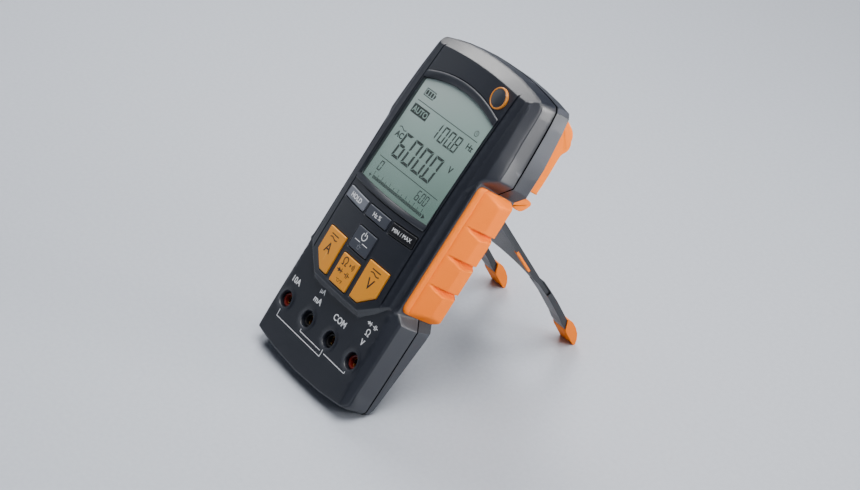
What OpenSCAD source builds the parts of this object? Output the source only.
// Handheld digital multimeter on its fold-out rear stand.
// Drawn along the body first: X to the right, Y from the front panel to the
// back, Z up the body. place() then leans it back until the bottom edge and
// the two stand feet share the floor, with the footprint centred on the origin.

/* [Body] */
// Width of the head, at the joint line beside the display
head_w = 84; // [82:0.5:86]
// Width of the base, at the sockets
base_w = 80; // [78:0.5:82]
// Width of the waist, between the two grips
waist_w = 73; // [72:0.5:74]
// Depth from the crown of the panel to the back
body_d = 28.5; // [28.5:0.1:28.8]
// Depth of the head from the panel to its back
head_back = 30.4; // [30.2:0.05:30.6]
// Depth of the joint line between the two shells
split_y = 19.5; // [19.25:0.25:20]
// Inset of the hollow from the outside
wall = 3.5; // [3.2:0.1:3.8]
// Radius of the panel's crown across the body
crown_r = 229; // [200:1:300]
// Radius of the panel's crown along the body
arch_r = 877; // [700:1:1200]
// How far the round badge stands proud
badge_h = 0.8; // [0.4:0.1:1.2]

/* [Display] */
// Lean of the display against the body
display_tilt = 2.35; // [1.5:0.05:3]
// Width of the display window
lens_w = 54.8; // [53:0.1:55]
// Length of the display window
lens_h = 57; // [55:0.5:57.5]
// Thickness of the display window
lens_t = 1; // [0.8:0.1:1.1]

/* [Keys] */
// Travel of each key
key_travel = 0.8; // [0.5:0.05:0.8]
// Gap between a key and its opening, each side
key_gap = 0.3; // [0.25:0.05:0.4]
// How far the keys stand above the panel
key_proud = 0.6; // [0.4:0.1:1]

/* [Sockets] */
// Distance from one socket to the next
jack_pitch = 19; // [18.5:0.25:19.25]
// Bore of a socket's contact, for a 4 mm plug
jack_bore = 4.1; // [4:0.05:4.2]
// Diameter of the recess for a plug's safety shroud
jack_well = 9; // [8.8:0.1:9.2]
// Height of the sockets above the bottom corner
jack_z = 17.6; // [17:0.1:18]

/* [Stand] */
// Angle the stand opens to
stand_open = 68; // [62:1:70]
// Length of a leg, from the hinge to the foot's sole
leg_len = 103.5; // [98:0.5:104]
// Width over the two legs
stand_w = 66; // [62:0.5:66.4]
// Diameter of the hinge pin
pin_d = 2.5; // [2:0.1:2.8]

/* [Holders] */
// Width of the channel that grips a test probe
probe_gap = 10.6; // [10:0.1:11]
// Distance from the middle of the body to a probe
probe_x = 28.6; // [28:0.1:28.8]

/* [Power] */
// Diameter of a battery cell
cell_d = 10.5; // [10:0.1:10.5]
// Length of a battery cell
cell_l = 44.5; // [44:0.1:44.5]

/* [Hidden] */
$fn = 64;
e = 0.01;

hh = head_w / 2;
hb = base_w / 2;
hw = waist_w / 2;
zmid = 78;                 // highest point of the panel's crown
hinge_y = 27;              // stand hinge axis
hinge_z = 106;
bay_y = 23.8;              // floor of the bay that takes the folded stand
toe_y = 20.7;              // bottom edge that rests on the floor
toe_z = -1.5;
jack_xs = [for (i = [-1.5:1:1.5]) i * jack_pitch];
// the sole's rear corner along and across the leg
sole = [leg_len - 1, -2.8];
badge_at = [20.9, 3.5, 148.65];
foot_y = hinge_y + sole[0] * sin(stand_open) + sole[1] * cos(stand_open);
foot_z = hinge_z - sole[0] * cos(stand_open) + sole[1] * sin(stand_open);
lean = atan2(foot_z - toe_z, foot_y - toe_y);
floor_z = -(toe_z * cos(lean) - toe_y * sin(lean));
back_shift = -71.5;

// ---------------------------------------------------------------- frames
module place() { translate([0, back_shift, floor_z]) rotate([-lean, 0, 0]) children(); }
// stand frame: origin on the hinge, folded leg runs down -Z, outer face +Y
module leg_frame() { place() translate([0, hinge_y, hinge_z]) rotate([stand_open, 0, 0]) children(); }
// display frame: y = 0 on the display plane, z from its lower third
module disp() { translate([0, 2.5, 88]) rotate([-display_tilt, 0, 0]) children(); }

module xz(y0, y1) { translate([0, y1, 0]) rotate([90, 0, 0]) linear_extrude(y1 - y0) children(); }
module yz(x0, x1) { translate([x0, 0, 0]) rotate([90, 0, 90]) linear_extrude(x1 - x0) children(); }
module xy(z0, z1) { translate([0, 0, z0]) linear_extrude(z1 - z0) children(); }
module box(a, b) { translate(a) cube([b[0] - a[0], b[1] - a[1], b[2] - a[2]]); }
module rod_y(x, z, r, y0, y1) { translate([x, y0, z]) rotate([-90, 0, 0]) cylinder(r = r, h = y1 - y0); }
module rod_x(y, z, r, x0, x1) { translate([x0, y, z]) rotate([0, 90, 0]) cylinder(r = r, h = x1 - x0); }
module both() { children(); mirror([1, 0, 0]) children(); }
function mir(h) = concat(h, [for (i = [len(h) - 1:-1:0]) [-h[i][0], h[i][1]]]);

// ---------------------------------------------------------------- outlines
// right half of the body seen from the front, moved in by t
function foot_arch(z, t) = (t > 0.5 ? max(z, toe_z) : z) + t;
function half(t) = [
  [7, foot_arch(-4.2, t)], [15, foot_arch(-3.7, t)], [23, foot_arch(-2.95, t)], [30, foot_arch(-2.1, t)],
  [36.9 - 0.4 * t, foot_arch(-1.1, t)], [38.7 - 0.8 * t, 0.3 + 0.8 * t],
  [hb - 0.5 - t, 3 + 0.3 * t], [hb - 0.2 - t, 12], [hb - 0.1 - t, 25],
  [hb - t, 43.5 - 0.4 * t], [hw - t, 48.2 - 0.4 * t], [hw - t, 113.5 + 0.4 * t],
  [hh + 0.2 - t, 119 + 0.4 * t], [hh + 0.1 - t, 126], [hh - 0.5 - t, 137.5], [hh - 1.4 - t, 150],
  [hh - 2.3 - t, 156.9 - 0.2 * t], [hh - 3.8 - 0.8 * t, 159.1 - 0.8 * t],
  [30 - 0.4 * t, 160.7 - t], [20, 162 - t], [10, 162.8 - t]];
module outline(t = 0) { polygon(mir(half(t))); }

// everything behind the doubly crowned panel surface, moved back by d: a slice
// of a large ring whose outside has both radii
module crown(d = 0) {
  translate([0, arch_r + d, zmid]) rotate([-90, 0, 0]) rotate([0, 90, 0]) rotate([0, 0, -7])
    rotate_extrude(angle = 14, $fn = 900) translate([arch_r - crown_r, 0]) circle(r = crown_r, $fn = 600);
}
// the same surface near height z, for a key's top: one curvature, leaning with the arch
module crown_near(z, d = 0) {
  translate([0, arch_r + d, zmid]) rotate([asin((zmid - z) / arch_r), 0, 0])
    translate([0, crown_r - arch_r, -60]) cylinder(r = crown_r, h = 120, $fn = 600);
}
// back of the head, which thins towards the top, and the step below it
head_taper = 0.0693;
function back_of(z) = head_back - (z - 119.5) * head_taper;
module back_step() {
  intersection() {
    xz(27, head_back + 1) outline();
    box([-60, 27, 109.9], [60, head_back, 113.6]);
    yz(-60, 60) polygon([[26, 109.9], [body_d, 109.9], [head_back, 111.6], [head_back, 114], [26, 114]]);
  }
}
module head_solid() {
  intersection() {
    xz(-1, head_back + 1) outline();
    box([-60, -1, 113.5], [60, 40, 170]);
    crown();
    translate([0, 0, 119]) rotate([-2, 0, 0]) translate([0, 0, -119]) xy(80, 200)
      polygon(mir([[28, -6], [31.5, 3], [34.8, 4.2], [hh - 3.8, 6.4], [hh - 1.4, 9.2], [hh + 0.4, 22], [hh + 0.4, 60]]));
    xy(100, 170) polygon(mir([[hh + 0.5, -3], [hh + 0.3, split_y], [hh, head_back - 1.2], [hh - 0.9, head_back], [hh - 0.9, head_back + 1]]));
    yz(-60, 60) polygon([[-3, 90], [-3, 154.6], [3.2, 155.6], [9, 161.6], [12, 164], [25.8, 164],
      [back_of(158.5), 158.5], [head_back, 119.5], [head_back, 90]]);
  }
}
module base_solid() {
  intersection() {
    xz(-1, body_d) outline();
    box([-60, -1, -10], [60, 40, 113.5]);
    xy(-10, 120) polygon(mir([[28, 5.2], [hb - 3.7, 6], [hb - 1, 8.7], [hb, split_y], [hb - 0.8, body_d - 1.2], [hb - 2, body_d]]));
    yz(-60, 60) polygon([[6.9, -4.4], [5.5, -2.4], [5, 0.2], [4, 120], [body_d, 120], [body_d, 60], [body_d - 1, 43], [22.4, 1], [22.4, -0.36], [toe_y, toe_z]]);
  }
}
module console_solid() {
  intersection() {
    xz(-1, 10) polygon(mir([[18.6, 35.3], [33.2, 47.2], [33.2, 113.6]]));
    crown();
  }
}

// ---------------------------------------------------------------- keys
function rect(cx, cz, a, b, tilt = 0) = [for (p = [[-a, -b], [a, -b], [a, b], [-a, b]])
  [cx + p[0] * cos(tilt) - p[1] * sin(tilt), cz + p[0] * sin(tilt) + p[1] * cos(tilt)]];
// side keys with one corner cut, on side s
function blade(s, g) = [[s * (10.1 - g), 39.7 - g], [s * (15.9 + 0.4 * g), 39.7 - g],
  [s * (24.25 + g), 46.5 - 0.4 * g], [s * (24.25 + g), 58.9 + g], [s * (10.1 - g), 58.9 + g]];
function k_hold(g) = rect(-18.6, 75.9, 8.3 + g, 2.75 + g, -3.3);
function k_minmax(g) = rect(18.6, 75.9, 8.3 + g, 2.75 + g, 3.3);
function k_filter(g) = rect(0, 75.4, 8.3 + g, 2.75 + g);
function k_power(g) = rect(0, 62.3, 7.1 + g, 5.35 + g);
function k_ohms(g) = rect(0, 46.35, 6.5 + g, 7.25 + g);
flange_y = 4.9;
module key_block(top, rim) {
  intersection() { xz(-2, flange_y + e) polygon(top); crown_near((top[0][1] + top[2][1]) / 2, -key_proud); }
  xz(flange_y, flange_y + 1) polygon(rim);
}
module key_openings() {
  for (p = [k_hold(key_gap), k_minmax(key_gap), k_filter(key_gap), k_power(key_gap), k_ohms(key_gap), blade(-1, key_gap), blade(1, key_gap)])
    xz(-3, 9) polygon(p);
}

// ---------------------------------------------------------------- shells
module front_shell() {
  color([0.17, 0.19, 0.23]) place() difference() {
    union() {
      difference() {
        intersection() {
          union() { head_solid(); base_solid(); console_solid(); }
          box([-60, -3, -10], [60, split_y, 170]);
        }
        // main hollow, keypad hollow and display hollow
        xz(8, split_y + 1) outline(wall);
        xz(4.5, 8.5) polygon(mir([[17, 37.7], [30.7, 47.7], [30.7, 81.5]]));
        disp() box([-30, 0.85, -6], [30, 9, 55]);
      }
      intersection() {
        for (x = jack_xs) rod_y(x, jack_z, jack_well / 2 + 1.5, 5.4, split_y - 0.2);
        box([-60, 5, -10], [60, split_y, 30]);
      }
      both() { rod_y(14, 151, 3.2, 7.5, split_y); rod_y(19, 8, 3.2, 7, split_y); }
    }
    // window and the ledge it sits on
    disp() {
      box([-lens_w / 2 - 0.2, -12, -4.7], [lens_w / 2 + 0.2, 0.3, lens_h - 4]);
      box([-25.6, -12, -2], [25.6, 5, 50.6]);
    }
    // sloping edges above and below the window
    yz(-lens_w / 2 - 0.2, lens_w / 2 + 0.2) polygon([[-2, 80.8], [0, 81.2], [1.6, 84], [1.6, 88], [-2, 88]]);
    yz(-lens_w / 2 - 0.2, lens_w / 2 + 0.2) polygon([[-2, 136], [3.6, 136], [3.9, 140.6], [2.4, 143.4], [-2, 143.6]]);
    key_openings();
    for (x = jack_xs) rod_y(x, jack_z, jack_well / 2, 2, split_y + 1);
    both() { rod_y(14, 151, 1.2, 10.5, split_y + 1); rod_y(19, 8, 1.2, 10.5, split_y + 1); }
    // seat of the badge
    translate(badge_at) rotate([-86, 0, 0]) translate([0, 0, -3]) cylinder(r = 5.3, h = 3.9);
  }
}

module rear_shell() {
  color([0.15, 0.17, 0.21]) place() difference() {
    union() {
      difference() {
        intersection() {
          union() { head_solid(); base_solid(); back_step(); }
          box([-60, split_y, -10], [60, head_back + 1, 170]);
        }
        intersection() {
          xz(split_y - 1, body_d) outline(wall);
          union() {
            box([-50, 10, 112], [50, back_of(157) - 2, 170]);
            box([-50, 10, 27], [50, 21.3, 109.5]);
            box([-50, 10, 5], [50, 20.6, 27.1]);
          }
        }
      }
      // battery well and screw columns
      box([-25.6, 10.8, 51], [25.6, 22, 89.2]);
      both() { rod_y(18, 94.5, 3, 12, 22); rod_y(14, 151, 3.2, split_y, back_of(151) - 1); rod_y(19, 8, 3.2, split_y, 21); }
    }
    // bay for the folded stand, with room for its barrel
    box([-34, bay_y, -10], [34, body_d + 2, 109.8]);
    rod_x(hinge_y, hinge_z, 3.3, -34, 34);
    rod_x(hinge_y, hinge_z, pin_d / 2 + 0.02, -40, 40);
    // battery opening, its lip and its seal's groove
    box([-24, 11.6, 52.5], [24, 30, 87.7]);
    box([-27.2, bay_y - 1.55, 49.8], [27.2, 30, 98.2]);
    difference() { box([-26.05, 21.85, 50.85], [26.05, 24, 89.35]); box([-24.85, 21, 52.05], [24.85, 25, 88.15]); }
    both() {
      rod_y(18, 94.5, 1, 13.5, 24);
      rod_y(14, 151, 1.4, split_y - 1, body_d + 1); rod_y(14, 151, 2.7, back_of(151) - 2.4, body_d + 1);
      rod_y(19, 8, 1.4, split_y - 1, body_d); rod_y(19, 8, 2.7, 21, body_d);
    }
    xz(split_y - 1, split_y + 0.75) difference() { outline(1.25); outline(2.55); }
  }
}

module case_seal() {
  color([0.1, 0.1, 0.1]) place() xz(split_y + 0.02, split_y + 0.72) difference() { outline(1.3); outline(2.5); }
}
module screw_y(x, z, y, head_r, head_h, r, l) {
  difference() {
    union() { rod_y(x, z, head_r, y - head_h, y); rod_y(x, z, r, y - head_h - l, y - head_h + e); }
    for (a = [0, 90]) translate([x, y, z]) rotate([0, a, 0]) cube([head_r * 1.3, 1.4, 0.5], center = true);
  }
}
module case_screws() {
  color([0.72, 0.73, 0.75]) place() both() {
    screw_y(14, 151, back_of(151) - 0.7, 2.5, 1.7, 1.18, 14.2);
    screw_y(19, 8, 22.3, 2.5, 1.3, 1.18, 9.5);
  }
}

// ---------------------------------------------------------------- display
module display_window() {
  color([0.62, 0.7, 0.68, 0.35]) place() disp() box([-lens_w / 2, 0.25 - lens_t, -4.5], [lens_w / 2, 0.25, lens_h - 4.2]);
}
module lcd_glass() {
  color([0.58, 0.66, 0.62]) place() disp() box([-27, 0.9, -3.6], [27, 2.7, 52]);
}
module lcd_backlight() {
  color([0.95, 0.97, 0.95]) place() difference() {
    disp() box([-26.6, 2.75, 0], [26.6, 8, 51.6]);
    box([-40, 8.3, 60], [40, 20, 160]);
  }
}
module lcd_carrier() {
  color([0.12, 0.12, 0.13]) place() difference() {
    disp() box([-29.4, 0.95, -5.4], [29.4, 8, 53.6]);
    disp() box([-27.2, -1, -3.8], [27.2, 12, 52.2]);
    box([-40, 8.3, 60], [40, 20, 160]);
  }
}
module zebra_strips() {
  color([0.85, 0.5, 0.55]) place() for (x = [-13, 13]) difference() {
    disp() box([x - 11, 2.75, -3.2], [x + 11, 8, -0.8]);
    box([-40, 8.45, 60], [40, 20, 160]);
  }
}
module header_badge() {
  color([0.85, 0.5, 0.12]) place() translate(badge_at) rotate([-86, 0, 0]) {
    translate([0, 0, -badge_h + 0.2]) cylinder(r = 5.1, h = badge_h + 0.6);
    translate([0, 0, -badge_h - 0.1]) cylinder(r = 4.1, h = 0.4);
  }
}

module key_hold() { color([0.72, 0.73, 0.76]) place() key_block(k_hold(0), k_hold(0.6)); }
module key_filter() { color([0.24, 0.26, 0.3]) place() key_block(k_filter(0), k_filter(0.6)); }
module key_minmax() { color([0.06, 0.06, 0.08]) place() key_block(k_minmax(0), k_minmax(0.6)); }
module key_power() { color([0.2, 0.21, 0.25]) place() key_block(k_power(0), k_power(0.8)); }
module key_amps() { color([0.9, 0.63, 0.2]) place() key_block(blade(-1, 0), blade(-1, 0.8)); }
module key_ohms() { color([0.88, 0.58, 0.16]) place() key_block(k_ohms(0), k_ohms(0.8)); }
module key_volts() { color([0.88, 0.56, 0.14]) place() key_block(blade(1, 0), blade(1, 0.8)); }

module keypad_mat() {
  color([0.75, 0.75, 0.72]) place() xz(5.95 + key_travel, 8.45) polygon(mir([[16, 39], [29.5, 48.7], [29.5, 80.6]]));
}

// ---------------------------------------------------------------- circuit board
module main_pcb() {
  color([0.08, 0.35, 0.2]) place() difference() {
    box([-32, 8.5, 26], [32, 10.1, 144]);
    for (x = [-29, 29], z = [40, 96, 140]) rod_y(x, z, 1.2, 8, 11);
  }
}
module pcb_screws() {
  color([0.75, 0.75, 0.78]) place() for (x = [-29, 29], z = [40, 96, 140])
    screw_y(x, z, 11.3, 2, 1.15, 1.15, 1.6);
}
module measuring_chip() { color([0.07, 0.07, 0.08]) place() box([-2, 10.15, 105], [12, 11.75, 119]); }
module buzzer() { color([0.1, 0.1, 0.1]) place() difference() { rod_y(-19, 118, 6.5, 10.15, 15.5); rod_y(-19, 118, 1, 14, 16); } }
module current_shunt() {
  color([0.72, 0.45, 0.3]) place() {
    for (z = [29, 38]) rod_y(-25, z, 0.9, 10.15, 16.9);
    translate([-25, 16, 28.1]) cylinder(r = 0.9, h = 10.8);
  }
}
module input_thermistor() { color([0.15, 0.4, 0.7]) place() translate([26, 15, 31.5]) cylinder(r = 4.2, h = 3.6); }

// ---------------------------------------------------------------- sockets
module liner(x) {
  difference() {
    union() {
      rod_y(x, jack_z, 3.4, 7, 18.2);
      rod_y(x, jack_z, jack_well / 2 - 0.05, 18.1, 19.2);
    }
    rod_y(x, jack_z, 2.35, 6, 9.5);
    rod_y(x, jack_z, 2.85, 9.2, 20);
  }
}
module jack_liners_red() { color([0.6, 0.08, 0.06]) place() for (i = [0, 3]) liner(jack_xs[i]); }
module jack_liners_black() { color([0.08, 0.08, 0.09]) place() for (i = [1, 2]) liner(jack_xs[i]); }
module jack_contacts() {
  color([0.85, 0.68, 0.35]) place() for (x = jack_xs) {
    difference() {
      rod_y(x, jack_z, 2.8, 9.3, 20);
      rod_y(x, jack_z, jack_bore / 2, 9, 19.3);
    }
    box([x - 1.4, 19.4, jack_z], [x + 1.4, 20, 27.2]);
    box([x - 1.4, 10.15, 26.6], [x + 1.4, 20, 27.2]);
  }
}

// ---------------------------------------------------------------- fuses
module fuse(z, r, l) {
  rod_x(10.5 + r, z, r, -l / 2, -l / 2 + 6);
  rod_x(10.5 + r, z, r, l / 2 - 6, l / 2);
  rod_x(10.5 + r, z, r - 0.3, -l / 2 + 1, l / 2 - 1);
}
module fuse_10a() { color([0.9, 0.88, 0.82]) place() fuse(35.8, 5.15, 38); }
module fuse_ma() { color([0.9, 0.9, 0.86]) place() fuse(46.2, 3.2, 32); }
module clip(x, z, r) {
  difference() {
    box([x - 2, 10.15, z - r - 0.55], [x + 2, 10.5 + r + 1.5, z + r + 0.55]);
    rod_x(10.5 + r, z, r + 0.03, x - 5, x + 5);
    box([x - 5, 10.5 + r, z - r * 0.8], [x + 5, 40, z + r * 0.8]);
  }
}
module fuse_clips() {
  color([0.8, 0.78, 0.7]) place() for (s = [-1, 1]) { clip(s * 16, 35.8, 5.15); clip(s * 13, 46.2, 3.2); }
}

// ---------------------------------------------------------------- batteries
cell_zs = [58.6, 70.1, 81.6];
module battery_cells() {
  color([0.2, 0.22, 0.3]) place() for (i = [0:2]) {
    s = i == 1 ? -1 : 1;
    rod_x(16.95, cell_zs[i], cell_d / 2, s > 0 ? -cell_l / 2 : -cell_l / 2 + 1, s > 0 ? cell_l / 2 - 1 : cell_l / 2);
    rod_x(16.95, cell_zs[i], 1.9, s > 0 ? cell_l / 2 - 1.5 : -cell_l / 2, s > 0 ? cell_l / 2 : -cell_l / 2 + 1.5);
  }
}
module battery_contacts() {
  color([0.82, 0.83, 0.84]) place() for (i = [0:2], s = [-1, 1]) {
    neg = (i == 1 ? 1 : -1) == s;
    box([s > 0 ? 23.5 : -23.9, 12.6, cell_zs[i] - 4.3], [s > 0 ? 23.9 : -23.5, 21.4, cell_zs[i] + 4.3]);
    if (neg) translate([s * 22.9, 16.95, cell_zs[i]]) rotate([0, 90, 0]) difference() { cylinder(r = 2.8, h = 1.2, center = true); cylinder(r = 1.8, h = 2, center = true); }
    else translate([s * 22.95, 16.95, cell_zs[i]]) rotate([0, 90, 0]) cylinder(r = 1.6, h = 1.2, center = true);
  }
}
module battery_cover() {
  color([0.16, 0.18, 0.22]) place() difference() {
    box([-27, bay_y - 1.5, 50], [27, bay_y - 0.05, 98]);
    both() { rod_y(18, 94.5, 1.3, 20, 25); rod_y(18, 94.5, 2.4, bay_y - 0.95, 25); }
    box([-9, bay_y - 0.6, 51.5], [9, 25, 55]);
  }
}
module battery_seal() {
  color([0.7, 0.35, 0.15]) place() difference() { box([-26, 21.9, 50.9], [26, 22.2, 89.3]); box([-24.9, 21, 52], [24.9, 25, 88.2]); }
}
module battery_cover_screws() { color([0.72, 0.73, 0.75]) place() both() screw_y(18, 94.5, bay_y - 0.15, 2.2, 0.75, 0.98, 7.5); }

// ---------------------------------------------------------------- grips
module grip() {
  difference() {
    intersection() {
      xy(48.6, 113.2) polygon([[hw + 0.05, 6.4], [38.4, 9.3], [hh + 0.3, 17.6], [hh + 0.5, 18.6], [hh - 0.7, 27], [hw + 0.05, 27.6]]);
      xz(0, 40) polygon([[30, 48.6], [37.6, 48.6], [hh + 0.6, 52.4], [hh + 0.6, 109], [38.6, 113.2], [30, 113.2]]);
    }
    for (z = [65.3, 80.2, 95.1]) xz(0, 40) polygon([[39.2, z - 0.2], [39.2, z + 0.5], [50, z + 1.2], [50, z - 3]]);
  }
}
module grip_right() { color([0.96, 0.58, 0.18]) place() grip(); }
module grip_left() { color([0.96, 0.58, 0.18]) place() mirror([1, 0, 0]) grip(); }

// ---------------------------------------------------------------- probe holders
module channel(z0, z1, y0) { box([probe_x - probe_gap / 2, y0, z0], [probe_x + probe_gap / 2, 60, z1]); }
module holder() {
  difference() {
    union() {
      yz(probe_x - probe_gap / 2 - 2.2, probe_x + probe_gap / 2 + 2.2)
        polygon([[back_of(120.7), 120.7], [40.4, 120.7], [40.7, 141.5], [40.7, 146], [back_of(146), 146]]);
      yz(probe_x - probe_gap / 2 - 2.9, probe_x + probe_gap / 2 + 2.9)
        polygon([[back_of(143), 143], [41.2, 143], [42.3, 146], [42.3, 148.5], [39.6, 152.3], [33, 155.6], [back_of(157), 157]]);
    }
    channel(110, 152.6, head_back + 1.6);
  }
}
module hook() {
  difference() {
    yz(probe_x - probe_gap / 2 - 2.2, probe_x + probe_gap / 2 + 2.2)
      polygon([[head_back, 111.8], [36.6, 110.9], [40.8, 115], [41, 116.2], [36, 117.3], [head_back, 117.3]]);
    channel(100, 130, head_back + 1.6);
  }
}
module probe_holder_right() { color([0.97, 0.62, 0.2]) place() holder(); }
module probe_holder_left() { color([0.97, 0.62, 0.2]) place() mirror([1, 0, 0]) holder(); }
module probe_hook_right() { color([0.97, 0.62, 0.2]) place() hook(); }
module probe_hook_left() { color([0.97, 0.62, 0.2]) place() mirror([1, 0, 0]) hook(); }

// ---------------------------------------------------------------- stand
sw = stand_w / 2;
leg_in = 24.5;             // inner edge of a leg
leg_end = leg_len - 7;     // the leg stops inside its foot
arch_in = [for (a = [0:10:90]) [leg_in - 22 * (1 - cos(90 - a)), -58 + 10 * sin(90 - a)]];
function stand_face() = mir(concat(
  [for (i = [len(arch_in) - 1:-1:0]) [max(0.01, arch_in[len(arch_in) - 1 - i][0]), arch_in[len(arch_in) - 1 - i][1]]],
  [[leg_in, -leg_end], [sw - 1, -leg_end], [sw, -leg_end + 1], [sw, 0]]));
module leg_plate() {
  xz(-0.6, 1) polygon(stand_face());
}
module stand() {
  color([0.19, 0.21, 0.25]) leg_frame() difference() {
    union() {
      leg_plate();
      // side rails, stiffening rim along the arch and hinge barrel
      both() {
        yz(sw - 3, sw) polygon([[-1.9, 0], [-1.9, -50], [-0.9, -56], [1.9, -56], [1, -52], [1, 0]]);
        yz(leg_in, sw) polygon([[-0.9, -56], [-0.6, -66], [-1.3, -82], [-1.9, -86.5], [-1.9, -leg_end], [1.5, -leg_end], [1.5, -86], [2.2, -72], [2.1, -62], [1.9, -56]]);
        yz(leg_in, sw) polygon([[-0.6, -59.5], [1, -59.5], [1.9, -56], [-0.9, -56]]);
      }
      xz(-1.9, 0) polygon([[-sw + 1, -4], [sw - 1, -4], [sw - 1, 0], [-sw + 1, 0]]);
      rod_x(0, 0, 2.8, -sw, sw);
    }
    rod_x(0, 0, pin_d / 2 + 0.06, -sw - 1, sw + 1);
    // shallow catch recesses in the outer sides of the legs
    both() box([sw - 0.8, -1.2, -65], [sw + 1, 1.6, -55]);
    // slots of the two inlays
    both() box([sw - 2.25, -2.5, -44.05], [sw + 1, -1, -28.95]);
  }
}
module stand_inlays() {
  color([0.93, 0.45, 0.12]) leg_frame() both() box([sw - 2.2, -2.1, -44], [sw - 0.02, -1.02, -29]);
}
module stand_hinge_pin() { color([0.75, 0.76, 0.78]) place() rod_x(hinge_y, hinge_z, pin_d / 2, -hw + 0.1, hw - 0.1); }
module foot() {
  difference() {
    yz(leg_in - 1, sw + 0.6) polygon([[1.6, -leg_len + 16.7], [2.6, -leg_len + 15.3], [3.1, -leg_len + 13], [2.9, -leg_len + 8.9],
      [2, -leg_len + 5.1], [0.4, -leg_len + 2.3], [sole[1] + 1, -sole[0] - 0.69], [sole[1], -sole[0]], [-2.35, -leg_len + 11], [-1.95, -leg_len + 12.6]]);
    yz(leg_in - 0.02, sw + 0.02) polygon([[-1.92, -50], [1.52, -50], [1.52, -leg_end - 0.02], [-1.92, -leg_end - 0.02]]);
  }
}
module stand_foot_right() { color([0.97, 0.6, 0.2]) leg_frame() foot(); }
module stand_foot_left() { color([0.97, 0.6, 0.2]) leg_frame() mirror([1, 0, 0]) foot(); }

// ---------------------------------------------------------------- build
front_shell();
rear_shell();
case_seal();
case_screws();
display_window();
lcd_glass();
lcd_backlight();
lcd_carrier();
zebra_strips();
header_badge();
key_hold();
key_filter();
key_minmax();
key_power();
key_amps();
key_ohms();
key_volts();
keypad_mat();
main_pcb();
pcb_screws();
measuring_chip();
buzzer();
current_shunt();
input_thermistor();
jack_liners_red();
jack_liners_black();
jack_contacts();
fuse_10a();
fuse_ma();
fuse_clips();
battery_cells();
battery_contacts();
battery_cover();
battery_seal();
battery_cover_screws();
grip_left();
grip_right();
probe_holder_left();
probe_holder_right();
probe_hook_left();
probe_hook_right();
stand();
stand_hinge_pin();
stand_foot_left();
stand_foot_right();
stand_inlays();
